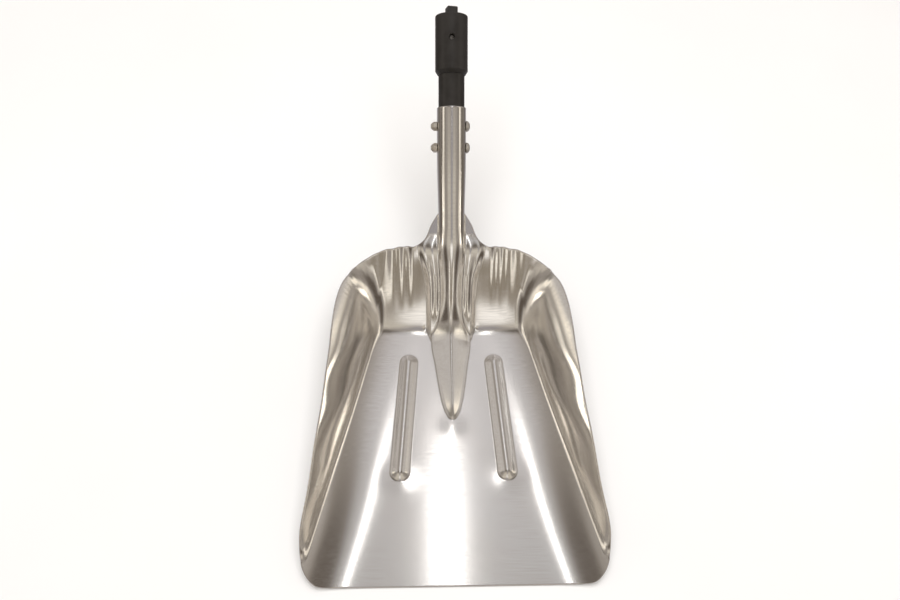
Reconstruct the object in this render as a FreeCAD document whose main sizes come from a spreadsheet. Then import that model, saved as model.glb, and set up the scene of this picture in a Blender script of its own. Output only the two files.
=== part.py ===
import FreeCAD, Part
import math
import os
import Sketcher

V = FreeCAD.Vector
doc = FreeCAD.newDocument("IceScoop")

# ---------------------------------------------------------------- driving dimensions (mm, degrees)
DIMENSIONS = {
    "sheet_gauge": 1.8,       # thickness of the pressed sheet
    "mouth_half": 166.0,      # half width of the floor at the lip
    "mouth_half_top": 199.0,  # the same, on the side walls' planes at rim height
    "core_half": 73.0,        # centre of the floor's rear corner radius, from the middle plane
    "core_half_top": 64.0,    # the same at rim height
    "floor_corner": 18.0,     # rear corner radius of the floor outline
    "rim_corner": 80.0,       # rear corner radius of the rim outline
    "floor_length": 313.0,    # lip to rear crease
    "pan_length": 381.0,      # lip to rear rim
    "rim_height": 74.0,       # underside of the floor to the rear rim
    "wall_run": 2.4,          # thickness of a sloping wall, measured level
    "crease_radius": 11.0,    # outside radius between floor and wall
    "wall_slope": 57.0,       # mean angle of the walls over the floor
    "lip_corner": 24.0,       # corner radius at each end of the lip
    "bead_radius": 16.0,      # outer radius of a stiffening bead's round back
    "bead_rise": 6.0,         # bead crest over the underside of the floor
    "bead_front_x": 63.5,
    "bead_front_y": 128.0,
    "bead_length": 134.0,
    "bead_lean": 3.7,         # how far a bead leans in towards the socket
    "lift": 30.0,             # angle between the socket and the floor
    "neck_y": 422.0,          # where the round socket begins, on its axis
    "neck_z": 96.0,
    "neck_radius": 16.2,
    "socket_radius": 17.75,
    "socket_taper": 62.0,     # end of the tapered length, along the socket
    "socket_length": 127.0,
    "seam_gap": 1.2,
    "bore_radius": 15.95,
    "barrel_radius": 15.9,
    "barrel_start": 66.0,     # inner end of the coupling's barrel, along the socket
    "step_start": 167.0,
    "step_radius": 17.0,
    "collar_start": 171.5,
    "collar_end": 237.5,
    "collar_radius": 19.8,
    "collar_edge": 1.2,
    "tang_width": 12.7,
    "tang_turn": 13.0,
    "tang_start": 196.0,
    "tang_end": 248.5,
    "pin_radius": 3.2,
    "pin_centre": 208.5,      # cross pin, along the socket
    "pin_half": 15.5,
    "first_bolt": 105.5,      # bolt centres, along the socket
    "second_bolt": 79.5,
    "bolt_radius": 3.0,
    "bolt_hole": 3.2,
    "seat": 17.8,             # middle plane to the faces under head and nut
    "head_radius": 6.6,
    "head_rim": 1.2,
    "head_height": 4.8,
    "nut_flats": 10.0,
    "nut_height": 4.2,
    "nut_collar": 4.5,        # radius of the nut's round locking collar
    "collar_height": 2.0,
    "insert_radius": 3.9,
    "insert_bore": 3.05,
    "insert_height": 1.5,
    "thread_tail": 1.2,       # bolt end standing out of the nut
    "clearance": 0.05,
    "overcut": 6.0,           # how far a cutting solid reaches past what it cuts
}
DERIVED = {
    "inner_mouth_top": "=mouth_half_top - wall_run + overcut * 0.22",
    "inner_rim_corner": "=rim_corner - wall_run",
    "inner_crease": "=crease_radius - sheet_gauge",
    "inner_shift": "=sheet_gauge / tan(wall_slope * 1 deg) - wall_run",
    "floor_centre": "=floor_length - floor_corner",
    "rim_centre": "=pan_length - rim_corner",
    "lip_reach": "=mouth_half + wall_run",
    "lip_centre": "=mouth_half + wall_run - lip_corner",
    "lip_past": "=mouth_half_top + overcut",
    "sheet_cut": "=sheet_gauge + 0.02",
    "over_rim": "=rim_height + 20",
    "bead_inner_radius": "=bead_radius - sheet_gauge",
    "bead_axis_z": "=bead_rise - bead_radius",
    "neck_inner": "=neck_radius - sheet_gauge",
    "half_seam": "=seam_gap / 2",
    "socket_end_cut": "=socket_length + overcut",
    "chamfer_start": "=collar_end - collar_edge",
    "collar_end_radius": "=collar_radius - collar_edge",
    "half_tang": "=tang_width / 2",
    "half_tang_hole": "=tang_width / 2 + clearance",
    "tang_hole_end": "=tang_start - clearance",
    "pin_hole": "=pin_radius + clearance",
    "bolt_tip": "=seat + nut_height + collar_height + thread_tail",
    "head_shoulder": "=seat + head_rim",
    "head_top": "=seat + head_height",
    "nut_end": "=nut_height + collar_height",
    "insert_start": "=nut_height + collar_height - insert_height - 0.3",
    "insert_end": "=nut_height + collar_height - 0.3",
    "insert_seat": "=insert_radius + clearance",
    "nut_bore": "=bolt_radius + clearance",
    "over_nut": "=nut_height + collar_height + overcut",
    "tang_length": "=tang_end - tang_start",
    "hub_y": "=(neck_y + tang_end * cos(lift * 1 deg)"
             " + half_tang * (cos(tang_turn * 1 deg) + sin(tang_turn * 1 deg)) * sin(lift * 1 deg)) / 2",
}
for station, along in (("neck", "0"), ("pin", "pin_centre"), ("first", "first_bolt"), ("second", "second_bolt")):
    DERIVED["at_%s_y" % station] = "=neck_y - hub_y + %s * cos(lift * 1 deg)" % along
    DERIVED["at_%s_z" % station] = "=neck_z + %s * sin(lift * 1 deg)" % along
DERIVED["upright_turn"] = "=lift - 90"
RIM_PROFILE = [(0.02, 0.06), (0.04, 0.24), (0.1, 0.36), (0.2, 0.49), (0.35, 0.635), (0.5, 0.745), (0.7, 0.87)]
RIDGE = [  # along the floor, half width, crest height, height of its open underside
    (190.0, 11.0, 0.6, -25.0),
    (214.0, 13.5, 5.0, -25.0),
    (245.0, 16.5, 11.0, -25.0),
    (280.0, 19.0, 21.0, -25.0),
    (313.0, 19.5, 38.0, -1.0),
    (347.0, 18.5, 64.0, 34.0),
    (385.0, 17.0, 91.5, 72.0),
    (424.0, 16.2, 115.6, 95.0),
]
WING = [(15.0, 8.0), (16.6, -6.0), (19.5, -20.0), (25.0, -32.0), (33.5, -41.0), (46.0, -47.0), (46.0, -52.0)]

for step, (width, height) in enumerate(((0.9, 0.42), (0.66, 0.76), (0.34, 1.0)), start=1):
    DERIVED["dome_radius%d" % step] = "=head_radius * %g" % width
    DERIVED["dome_height%d" % step] = "=head_shoulder + (head_top - head_shoulder) * %g" % height
for corner in range(6):
    DERIVED["nut_flat_x%d" % corner] = "=nut_flats / 2 / cos(30 deg) * cos(%d deg)" % (60 * corner)
    DERIVED["nut_flat_y%d" % corner] = "=nut_flats / 2 / cos(30 deg) * sin(%d deg)" % (60 * corner)
CREASE_STEPS = 4
for step in range(CREASE_STEPS):
    turned = "wall_slope * %g deg" % (step / (CREASE_STEPS - 1))
    run = "(sin(%s) - tan(wall_slope * 0.5 deg))" % turned
    rise = "(1 - cos(%s))" % turned
    for side, radius, shift, lift in (
        ("outer", "crease_radius", "0", "0"), ("inner", "inner_crease", "inner_shift", "sheet_gauge"),
    ):
        off = "%s * %s + %s" % (radius, run, shift)
        DERIVED["%s_z%d" % (side, step)] = "=%s * %s + %s" % (radius, rise, lift)
        DERIVED["%s_mouth%d" % (side, step)] = "=mouth_half + %s" % off
        DERIVED["%s_corner%d" % (side, step)] = "=floor_corner + %s" % off
for number_in_row, (y, z) in enumerate(RIM_PROFILE):
    DERIVED["rim_y%d" % number_in_row] = "=floor_length * %g" % y
    DERIVED["rim_z%d" % number_in_row] = "=rim_height * %g" % z
for number_in_row, (y, half, crest, foot) in enumerate(RIDGE):
    DIMENSIONS["ridge_y%d" % number_in_row] = y
    DIMENSIONS["ridge_half%d" % number_in_row] = half
    DIMENSIONS["ridge_crest%d" % number_in_row] = crest
    DIMENSIONS["ridge_foot%d" % number_in_row] = foot
    DERIVED["ridge_centre%d" % number_in_row] = "=ridge_crest%d - ridge_half%d" % ((number_in_row,) * 2)
    DERIVED["ridge_inner%d" % number_in_row] = "=ridge_half%d - sheet_gauge" % number_in_row
    DERIVED["ridge_cut%d" % number_in_row] = "=ridge_foot%d - overcut" % number_in_row
for number_in_row, (half, along) in enumerate(WING):
    DIMENSIONS["wing_x%d" % number_in_row] = half
    DIMENSIONS["wing_s%d" % number_in_row] = along

sheet = doc.addObject("Spreadsheet::Sheet", "Dims")
for row, (alias, content) in enumerate({**DIMENSIONS, **DERIVED}.items(), start=1):
    sheet.set("A%d" % row, alias)
    sheet.set("B%d" % row, str(content))
    sheet.setAlias("B%d" % row, alias)
doc.recompute()


# ---------------------------------------------------------------- drawing helpers
def number(term):
    """The value of a sheet name, of a name with a minus sign, or of a plain number."""
    if not isinstance(term, str):
        return float(term)
    size = sheet.get(term.lstrip("-"))
    size = float(getattr(size, "Value", size))
    return -size if term.startswith("-") else size


def bind(target, path, term):
    """Tie a property to a sheet name."""
    if isinstance(term, str):
        target.setExpression(path, ("-" if term.startswith("-") else "") + "Dims." + term.lstrip("-"))


def body_named(name):
    body = doc.addObject("PartDesign::Body", name)
    body.Label = name
    return body


def sketch_on(body, name, role, base=(0, 0, 0), axis=V(0, 0, 1), turn=0):
    """A sketch on one of the body's origin planes, shifted and turned by sheet names."""
    sketch = body.newObject("Sketcher::SketchObject", name)
    plane = next(item for item in body.Origin.OriginFeatures if item.Role == role)
    sketch.AttachmentSupport = [(plane, "")]
    sketch.MapMode = "FlatFace"
    offset = V(*[number(term) for term in base])
    sketch.AttachmentOffset = FreeCAD.Placement(offset, FreeCAD.Rotation(axis, number(turn)))
    for letter, term in zip("xyz", base):
        bind(sketch, "AttachmentOffset.Base." + letter, term)
    bind(sketch, "AttachmentOffset.Rotation.Angle", turn)
    return sketch


def pin_point(sketch, edge, end, x, y):
    """Hold one point of a sketch at (x, y)."""
    for kind, term, on_axis in (("DistanceX", x, -2), ("DistanceY", y, -1)):
        if number(term) == 0:
            sketch.addConstraint(Sketcher.Constraint("PointOnObject", edge, end, on_axis))
            continue
        index = sketch.addConstraint(Sketcher.Constraint(kind, -1, 1, edge, end, number(term)))
        bind(sketch, "Constraints[%d]" % index, term)


def polygon(sketch, points):
    """A closed outline of straight lines through points held at sheet names."""
    corners = [V(number(x), number(y), 0) for x, y in points]
    edges = [
        sketch.addGeometry(Part.LineSegment(start, end))
        for start, end in zip(corners, corners[1:] + corners[:1])
    ]
    for edge, following in zip(edges, edges[1:] + edges[:1]):
        sketch.addConstraint(Sketcher.Constraint("Coincident", edge, 2, following, 1))
    for edge, (x, y) in zip(edges, points):
        pin_point(sketch, edge, 1, x, y)


def circle(sketch, x, y, radius):
    edge = sketch.addGeometry(Part.Circle(V(number(x), number(y), 0), V(0, 0, 1), number(radius)))
    pin_point(sketch, edge, 3, x, y)
    index = sketch.addConstraint(Sketcher.Constraint("Radius", edge, number(radius)))
    bind(sketch, "Constraints[%d]" % index, radius)


def arch(sketch, half, centre, foot):
    """A round-topped outline, symmetric about the vertical axis."""
    half_mm, centre_mm, foot_mm = number(half), number(centre), number(foot)
    bow = Part.ArcOfCircle(Part.Circle(V(0, centre_mm, 0), V(0, 0, 1), half_mm), 0, math.pi)
    crown = sketch.addGeometry(bow)
    lines = [
        sketch.addGeometry(Part.LineSegment(V(*start, 0), V(*end, 0)))
        for start, end in (
            ((-half_mm, centre_mm), (-half_mm, foot_mm)),
            ((-half_mm, foot_mm), (half_mm, foot_mm)),
            ((half_mm, foot_mm), (half_mm, centre_mm)),
        )
    ]
    for first, end, second, start in (
        (crown, 2, lines[0], 1), (lines[0], 2, lines[1], 1), (lines[1], 2, lines[2], 1), (lines[2], 2, crown, 1),
    ):
        sketch.addConstraint(Sketcher.Constraint("Coincident", first, end, second, start))
    pin_point(sketch, crown, 3, 0, centre)
    index = sketch.addConstraint(Sketcher.Constraint("Radius", crown, half_mm))
    bind(sketch, "Constraints[%d]" % index, half)
    sketch.addConstraint(Sketcher.Constraint("Vertical", lines[0]))
    sketch.addConstraint(Sketcher.Constraint("Horizontal", lines[1]))
    sketch.addConstraint(Sketcher.Constraint("Vertical", lines[2]))
    index = sketch.addConstraint(Sketcher.Constraint("DistanceY", -1, 1, lines[1], 1, foot_mm))
    bind(sketch, "Constraints[%d]" % index, foot)


def pan_outline(sketch, front, mouth, core, centre, radius):
    """The pan's plan outline: open-ended sides that run into round rear corners."""
    front_mm, mouth_mm, core_mm = number(front), number(mouth), number(core)
    centre_mm, radius_mm = number(centre), number(radius)
    reach = math.hypot(mouth_mm - core_mm, centre_mm - front_mm)
    bearing = math.atan2(front_mm - centre_mm, mouth_mm - core_mm)
    turn = bearing + math.acos(radius_mm / reach)
    touch = V(core_mm + radius_mm * math.cos(turn), centre_mm + radius_mm * math.sin(turn), 0)
    rear = centre_mm + radius_mm

    def arc(x, first, last):
        return Part.ArcOfCircle(Part.Circle(V(x, centre_mm, 0), V(0, 0, 1), radius_mm), first, last)

    lip = sketch.addGeometry(Part.LineSegment(V(-mouth_mm, front_mm, 0), V(mouth_mm, front_mm, 0)))
    right = sketch.addGeometry(Part.LineSegment(V(mouth_mm, front_mm, 0), touch))
    right_corner = sketch.addGeometry(arc(core_mm, turn, math.pi / 2))
    back = sketch.addGeometry(Part.LineSegment(V(core_mm, rear, 0), V(-core_mm, rear, 0)))
    left_corner = sketch.addGeometry(arc(-core_mm, math.pi / 2, math.pi - turn))
    left = sketch.addGeometry(Part.LineSegment(V(-touch.x, touch.y, 0), V(-mouth_mm, front_mm, 0)))
    sketch.addConstraint(Sketcher.Constraint("Coincident", lip, 2, right, 1))
    sketch.addConstraint(Sketcher.Constraint("Tangent", right, 2, right_corner, 1))
    sketch.addConstraint(Sketcher.Constraint("Tangent", right_corner, 2, back, 1))
    sketch.addConstraint(Sketcher.Constraint("Tangent", back, 2, left_corner, 1))
    sketch.addConstraint(Sketcher.Constraint("Tangent", left_corner, 2, left, 1))
    sketch.addConstraint(Sketcher.Constraint("Coincident", left, 2, lip, 1))
    pin_point(sketch, lip, 1, "-" + mouth, front)
    pin_point(sketch, lip, 2, mouth, front)
    pin_point(sketch, right_corner, 3, core, centre)
    pin_point(sketch, left_corner, 3, "-" + core, centre)
    for corner in (right_corner, left_corner):
        index = sketch.addConstraint(Sketcher.Constraint("Radius", corner, radius_mm))
        bind(sketch, "Constraints[%d]" % index, radius)


def feature(body, kind, name, profile, **settings):
    made = body.newObject("PartDesign::" + kind, name)
    made.Profile = profile
    for key, setting in settings.items():
        setattr(made, key, setting)
    doc.recompute()
    body.Tip = made
    return made


def loft(body, kind, name, profile, sections, ruled=True):
    made = body.newObject("PartDesign::" + kind, name)
    made.Profile = profile
    made.Sections = sections
    made.Ruled = ruled
    doc.recompute()
    body.Tip = made
    return made


def mirrored(body, name, original):
    made = body.newObject("PartDesign::Mirrored", name)
    made.Originals = [original]
    plane = next(item for item in body.Origin.OriginFeatures if item.Role == "YZ_Plane")
    made.MirrorPlane = (plane, [""])
    doc.recompute()
    body.Tip = made
    return made


# ---------------------------------------------------------------- the blade: pan, frog and socket, one sheet
blade = body_named("scoop_blade")
SIDE_FRAME = {"role": "YZ_Plane", "base": ("neck_y", "neck_z", 0), "turn": "lift"}
TOP_FRAME = {"role": "XY_Plane", "base": (0, "neck_y", "neck_z"), "axis": V(1, 0, 0), "turn": "lift"}



def pan_sections(side, front, mouth_top, corner_top):
    """Level outlines of the pan from its floor, round the crease, to the height of the rim."""
    sections = []
    for step in range(CREASE_STEPS):
        level = sketch_on(blade, "%s_level%d" % (side, step), "XY_Plane", base=(0, 0, "%s_z%d" % (side, step)))
        pan_outline(level, front, "%s_mouth%d" % (side, step), "core_half", "floor_centre",
                    "%s_corner%d" % (side, step))
        sections.append(level)
    top = sketch_on(blade, side + "_rim", "XY_Plane", base=(0, 0, "rim_height"))
    pan_outline(top, front, mouth_top, "core_half_top", "rim_centre", corner_top)
    return sections + [top]


outer = pan_sections("outer", 0, "mouth_half_top", "rim_corner")
loft(blade, "AdditiveLoft", "PanOuter", outer[0], outer[1:])
inner = pan_sections("inner", "-overcut", "inner_mouth_top", "inner_rim_corner")
loft(blade, "SubtractiveLoft", "PanInner", inner[0], inner[1:])

rim_cut = sketch_on(blade, "RimProfile", "YZ_Plane")
rim_points = [("rim_y%d" % i, "rim_z%d" % i) for i in range(len(RIM_PROFILE))]
polygon(
    rim_cut,
    [("-overcut", "sheet_cut")] + rim_points + [
        ("floor_length", "rim_height"), ("floor_length", "over_rim"), ("-overcut", "over_rim"),
    ],
)
feature(blade, "Pocket", "RimTrim", rim_cut, Type="ThroughAll", Midplane=True)

lip_ends = sketch_on(blade, "LipEnds", "XY_Plane", base=(0, 0, "-overcut"))


def lip_end_outline(sketch, side):
    """The piece cut away outside one round corner of the lip."""
    sign = "" if side > 0 else "-"
    reach, past = number("lip_reach"), number("lip_past")
    corner, cut = number("lip_corner"), number("overcut")
    centre = V(side * (reach - corner), corner, 0)
    angles = (-math.pi / 2, 0.0) if side > 0 else (math.pi, 3 * math.pi / 2)
    bow = sketch.addGeometry(Part.ArcOfCircle(Part.Circle(centre, V(0, 0, 1), corner), *angles))
    start, end = (1, 2) if side > 0 else (2, 1)
    bottom, edge = V(centre.x, 0, 0), V(side * reach, corner, 0)
    path = [bottom, V(centre.x, -cut, 0), V(side * past, -cut, 0)]
    path += [V(side * past, corner, 0), edge]
    lines = [sketch.addGeometry(Part.LineSegment(a, b)) for a, b in zip(path, path[1:])]
    for first, second in zip(lines, lines[1:]):
        sketch.addConstraint(Sketcher.Constraint("Coincident", first, 2, second, 1))
    sketch.addConstraint(Sketcher.Constraint("Coincident", lines[0], 1, bow, start))
    sketch.addConstraint(Sketcher.Constraint("Coincident", lines[-1], 2, bow, end))
    pin_point(sketch, bow, 3, sign + "lip_centre", "lip_corner")
    index = sketch.addConstraint(Sketcher.Constraint("Radius", bow, corner))
    bind(sketch, "Constraints[%d]" % index, "lip_corner")
    sketch.addConstraint(Sketcher.Constraint("Vertical", lines[0]))
    pin_point(sketch, lines[1], 1, sign + "lip_centre", "-overcut")
    pin_point(sketch, lines[2], 1, sign + "lip_past", "-overcut")
    pin_point(sketch, lines[3], 1, sign + "lip_past", "lip_corner")
    sketch.addConstraint(Sketcher.Constraint("Horizontal", lines[3]))


for side in (1, -1):
    lip_end_outline(lip_ends, side)
feature(blade, "Pocket", "LipCorners", lip_ends, Type="ThroughAll", Reversed=True)

BEAD_FRAME = {
    "role": "XY_Plane",
    "base": ("bead_front_x", "bead_front_y", "bead_axis_z"),
    "axis": V(0, 0, 1),
    "turn": "bead_lean",
}


def bead_outline(sketch, radius):
    """Half of a long capsule's section, beside its axis."""
    radius_mm, length = number(radius), number("bead_length")
    axis = sketch.addGeometry(Part.LineSegment(V(0, -radius_mm, 0), V(0, length + radius_mm, 0)))
    far = sketch.addGeometry(
        Part.ArcOfCircle(Part.Circle(V(0, length, 0), V(0, 0, 1), radius_mm), 0, math.pi / 2))
    side = sketch.addGeometry(Part.LineSegment(V(radius_mm, 0, 0), V(radius_mm, length, 0)))
    near = sketch.addGeometry(
        Part.ArcOfCircle(Part.Circle(V(0, 0, 0), V(0, 0, 1), radius_mm), -math.pi / 2, 0))
    sketch.addConstraint(Sketcher.Constraint("Coincident", axis, 2, far, 2))
    sketch.addConstraint(Sketcher.Constraint("Tangent", side, 2, far, 1))
    sketch.addConstraint(Sketcher.Constraint("Tangent", side, 1, near, 2))
    sketch.addConstraint(Sketcher.Constraint("Coincident", axis, 1, near, 1))
    sketch.addConstraint(Sketcher.Constraint("PointOnObject", axis, 1, -2))
    sketch.addConstraint(Sketcher.Constraint("PointOnObject", axis, 2, -2))
    pin_point(sketch, near, 3, 0, 0)
    pin_point(sketch, far, 3, 0, "bead_length")
    index = sketch.addConstraint(Sketcher.Constraint("Radius", near, radius_mm))
    bind(sketch, "Constraints[%d]" % index, radius)


bead_outer = sketch_on(blade, "BeadOuter", **BEAD_FRAME)
bead_outline(bead_outer, "bead_radius")
bead = feature(blade, "Revolution", "Bead", bead_outer, ReferenceAxis=(bead_outer, ["V_Axis"]), Angle=360)
mirrored(blade, "BeadPair", bead)

socket_profile = sketch_on(blade, "SocketProfile", **SIDE_FRAME)
polygon(socket_profile, [
    (0, 0), (0, "neck_radius"), ("socket_taper", "socket_radius"),
    ("socket_length", "socket_radius"), ("socket_length", 0),
])
feature(blade, "Revolution", "Socket", socket_profile, ReferenceAxis=(socket_profile, ["H_Axis"]), Angle=360)

wings = sketch_on(blade, "Wings", **TOP_FRAME)
right_wing = [("wing_x%d" % i, "wing_s%d" % i) for i in range(len(WING))]
left_wing = [("-" + x, s) for x, s in reversed(right_wing)]
polygon(wings, right_wing + left_wing)
feature(blade, "Pad", "WingSheet", wings, Midplane=True, Length=number("sheet_gauge"))
bind(blade.Tip, "Length", "sheet_gauge")


def ridge_sections(name, half, centre, foot):
    sections = []
    for index in range(len(RIDGE)):
        section = sketch_on(blade, "%s%d" % (name, index), "XZ_Plane", base=(0, 0, "-ridge_y%d" % index))
        arch(section, half % index, centre % index, foot % index)
        sections.append(section)
    return sections


ridge = ridge_sections("RidgeOuter", "ridge_half%d", "ridge_centre%d", "ridge_foot%d")
loft(blade, "AdditiveLoft", "Ridge", ridge[0], ridge[1:])
hollow = ridge_sections("RidgeInner", "ridge_inner%d", "ridge_centre%d", "ridge_cut%d")
loft(blade, "SubtractiveLoft", "RidgeHollow", hollow[0], hollow[1:])

bead_inner = sketch_on(blade, "BeadInner", **BEAD_FRAME)
bead_outline(bead_inner, "bead_inner_radius")
hollow_bead = feature(
    blade, "Groove", "BeadHollow", bead_inner, ReferenceAxis=(bead_inner, ["V_Axis"]), Angle=360)
mirrored(blade, "BeadHollowPair", hollow_bead)

bore_profile = sketch_on(blade, "BoreProfile", **SIDE_FRAME)
polygon(bore_profile, [
    ("-overcut", 0), ("-overcut", "neck_inner"), (0, "neck_inner"), ("socket_taper", "bore_radius"),
    ("socket_end_cut", "bore_radius"), ("socket_end_cut", 0),
])
feature(blade, "Groove", "SocketBore", bore_profile, ReferenceAxis=(bore_profile, ["H_Axis"]), Angle=360)

seam = sketch_on(blade, "Seam", **TOP_FRAME)
polygon(seam, [
    ("-half_seam", "-overcut"), ("half_seam", "-overcut"),
    ("half_seam", "socket_end_cut"), ("-half_seam", "socket_end_cut"),
])
feature(blade, "Pocket", "SeamGap", seam, Type="ThroughAll")

bolt_holes = sketch_on(blade, "BoltHoles", **SIDE_FRAME)
circle(bolt_holes, "first_bolt", 0, "bolt_hole")
circle(bolt_holes, "second_bolt", 0, "bolt_hole")
feature(blade, "Pocket", "BoltHolePair", bolt_holes, Type="ThroughAll", Midplane=True)

under = sketch_on(blade, "Under", "XY_Plane")
polygon(under, [
    ("-mouth_half_top", "-overcut"), ("mouth_half_top", "-overcut"),
    ("mouth_half_top", "pan_length"), ("-mouth_half_top", "pan_length"),
])
feature(blade, "Pocket", "FlatUnderside", under, Type="ThroughAll")


# ---------------------------------------------------------------- the coupling in the socket
def turned_body(name, outline_points):
    """A round body about its own Z axis, from half of its section."""
    body = body_named(name)
    section = sketch_on(body, name + "_section", "XZ_Plane")
    polygon(section, outline_points)
    feature(body, "Revolution", name + "_turned", section, ReferenceAxis=(section, ["V_Axis"]), Angle=360)
    return body


coupling = turned_body("handle_coupling", [
    (0, "barrel_start"), ("barrel_radius", "barrel_start"), ("barrel_radius", "step_start"),
    ("step_radius", "step_start"), ("collar_radius", "collar_start"), ("collar_radius", "chamfer_start"),
    ("collar_end_radius", "collar_end"), (0, "collar_end"),
])


def square_outline(sketch, half):
    polygon(sketch, [("-" + half, "-" + half), (half, "-" + half), (half, half), ("-" + half, half)])


tang_hole = sketch_on(coupling, "TangHole", "XY_Plane", base=(0, 0, "tang_hole_end"), turn="tang_turn")
square_outline(tang_hole, "half_tang_hole")
feature(coupling, "Pocket", "TangSocket", tang_hole, Type="ThroughAll", Reversed=True)

pin_holes = sketch_on(coupling, "PinHoles", "XZ_Plane")
circle(pin_holes, 0, "pin_centre", "pin_hole")
feature(coupling, "Pocket", "PinHole", pin_holes, Type="ThroughAll", Midplane=True)

barrel_holes = sketch_on(coupling, "BarrelHoles", "YZ_Plane")
circle(barrel_holes, 0, "first_bolt", "bolt_hole")
circle(barrel_holes, 0, "second_bolt", "bolt_hole")
feature(coupling, "Pocket", "BarrelBoltHoles", barrel_holes, Type="ThroughAll", Midplane=True)

tang = body_named("coupling_tang")
tang_section = sketch_on(tang, "TangSection", "XY_Plane", base=(0, 0, "tang_start"), turn="tang_turn")
square_outline(tang_section, "half_tang")
feature(tang, "Pad", "TangBar", tang_section, Length=number("tang_length"))
bind(tang.Tip, "Length", "tang_length")
tang_pin_hole = sketch_on(tang, "TangPinHole", "XZ_Plane")
circle(tang_pin_hole, 0, "pin_centre", "pin_hole")
feature(tang, "Pocket", "TangCrossHole", tang_pin_hole, Type="ThroughAll", Midplane=True)

pin = turned_body("tang_cross_pin", [
    (0, "-pin_half"), ("pin_radius", "-pin_half"), ("pin_radius", "pin_half"), (0, "pin_half"),
])


# ---------------------------------------------------------------- cross bolts, lock nuts and their inserts
def cross_bolt(name):
    """A dome-headed bolt along its own Z axis, with the socket's middle plane at zero."""
    return turned_body(name, [
        (0, "-bolt_tip"), ("bolt_radius", "-bolt_tip"), ("bolt_radius", "seat"), ("head_radius", "seat"),
        ("head_radius", "head_shoulder"), ("dome_radius1", "dome_height1"), ("dome_radius2", "dome_height2"),
        ("dome_radius3", "head_top"), (0, "head_top"),
    ])


def lock_nut(name):
    """A hexagon nut with a round locking collar, seated at zero and standing along its own Z axis."""
    nut = body_named(name)
    flats = sketch_on(nut, name + "_flats", "XY_Plane")
    corners = [("nut_flat_x%d" % i, "nut_flat_y%d" % i) for i in range(6)]
    polygon(flats, corners)
    feature(nut, "Pad", name + "_hexagon", flats, Length=number("nut_height"))
    bind(nut.Tip, "Length", "nut_height")
    collar = sketch_on(nut, name + "_collar", "XZ_Plane")
    polygon(collar, [(0, 0), ("nut_collar", 0), ("nut_collar", "nut_end"), (0, "nut_end")])
    feature(nut, "Revolution", name + "_round", collar, ReferenceAxis=(collar, ["V_Axis"]), Angle=360)
    bore = sketch_on(nut, name + "_bore", "XZ_Plane")
    polygon(bore, [
        (0, "-overcut"), ("nut_bore", "-overcut"), ("nut_bore", "insert_start"), ("insert_seat", "insert_start"),
        ("insert_seat", "insert_end"), ("nut_bore", "insert_end"), ("nut_bore", "over_nut"), (0, "over_nut"),
    ])
    feature(nut, "Groove", name + "_bored", bore, ReferenceAxis=(bore, ["V_Axis"]), Angle=360)
    return nut


def nut_insert(name):
    return turned_body(name, [
        ("insert_bore", "insert_start"), ("insert_radius", "insert_start"),
        ("insert_radius", "insert_end"), ("insert_bore", "insert_end"),
    ])


# ---------------------------------------------------------------- places: origin under the middle of the box
def place(body, station, turn_axis, turn, aside=0):
    """Set a body at one of the stations on the socket's axis."""
    y, z = station + "_y", station + "_z"
    base = V(number(aside), number(y), number(z))
    body.Placement = FreeCAD.Placement(base, FreeCAD.Rotation(turn_axis, number(turn)))
    for letter, term in (("x", aside), ("y", y), ("z", z)):
        bind(body, "Placement.Base." + letter, term)
    bind(body, "Placement.Rotation.Angle", turn)


blade.Placement = FreeCAD.Placement(V(0, -number("hub_y"), 0), FreeCAD.Rotation())
bind(blade, "Placement.Base.y", "-hub_y")
for body in (coupling, tang):
    place(body, "at_neck", V(1, 0, 0), "upright_turn")
place(pin, "at_pin", V(1, 0, 0), "lift")
for level, station in (("upper", "at_first"), ("lower", "at_second")):
    place(cross_bolt(level + "_cross_bolt"), station, V(0, 1, 0), 90)
    place(lock_nut(level + "_lock_nut"), station, V(0, 1, 0), -90, aside="-seat")
    place(nut_insert(level + "_nut_insert"), station, V(0, 1, 0), -90, aside="-seat")
doc.recompute()

# ---------------------------------------------------------------- check and write
os.makedirs("parts", exist_ok=True)
for item in doc.Objects:
    if "Invalid" in item.State or "Error" in item.State:
        raise RuntimeError("%s is in state %s" % (item.Label, item.State))
for body in doc.findObjects("PartDesign::Body"):
    if body.Shape.isNull() or not body.Shape.isValid() or len(body.Shape.Solids) != 1:
        raise RuntimeError("%s has no single valid solid" % body.Label)
    body.Shape.exportStep("parts/%s.step" % body.Label)
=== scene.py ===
import math

import bpy
import numpy as np
from mathutils import Matrix, Vector


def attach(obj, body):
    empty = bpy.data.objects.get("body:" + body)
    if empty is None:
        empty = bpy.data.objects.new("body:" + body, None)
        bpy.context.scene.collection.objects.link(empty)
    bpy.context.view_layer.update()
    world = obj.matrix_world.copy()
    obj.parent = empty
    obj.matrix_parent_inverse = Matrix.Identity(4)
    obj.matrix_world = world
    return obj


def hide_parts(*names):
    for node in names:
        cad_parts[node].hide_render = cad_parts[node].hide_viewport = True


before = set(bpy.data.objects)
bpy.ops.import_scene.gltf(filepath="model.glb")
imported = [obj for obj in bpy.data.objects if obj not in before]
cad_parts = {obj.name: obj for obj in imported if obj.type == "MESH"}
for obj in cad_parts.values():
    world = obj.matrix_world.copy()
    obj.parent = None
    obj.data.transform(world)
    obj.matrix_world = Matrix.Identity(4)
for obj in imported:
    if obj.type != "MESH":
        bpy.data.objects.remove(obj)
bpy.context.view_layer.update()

# ------------------------------------------------------------- driving dimensions of the pressed sheet (mm)
# Plan lengths count from the lip towards the handle, widths from the middle.
MM = 0.001
LIP_Y = -320.5                     # the lip's place in the frame
GAUGE = 1.8                        # sheet thickness
MOUTH_HALF = 165.5                 # where the side fold would meet the lip
SIDE_TURN = math.radians(14.0)     # how much each side fold leans in towards the rear
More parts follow.
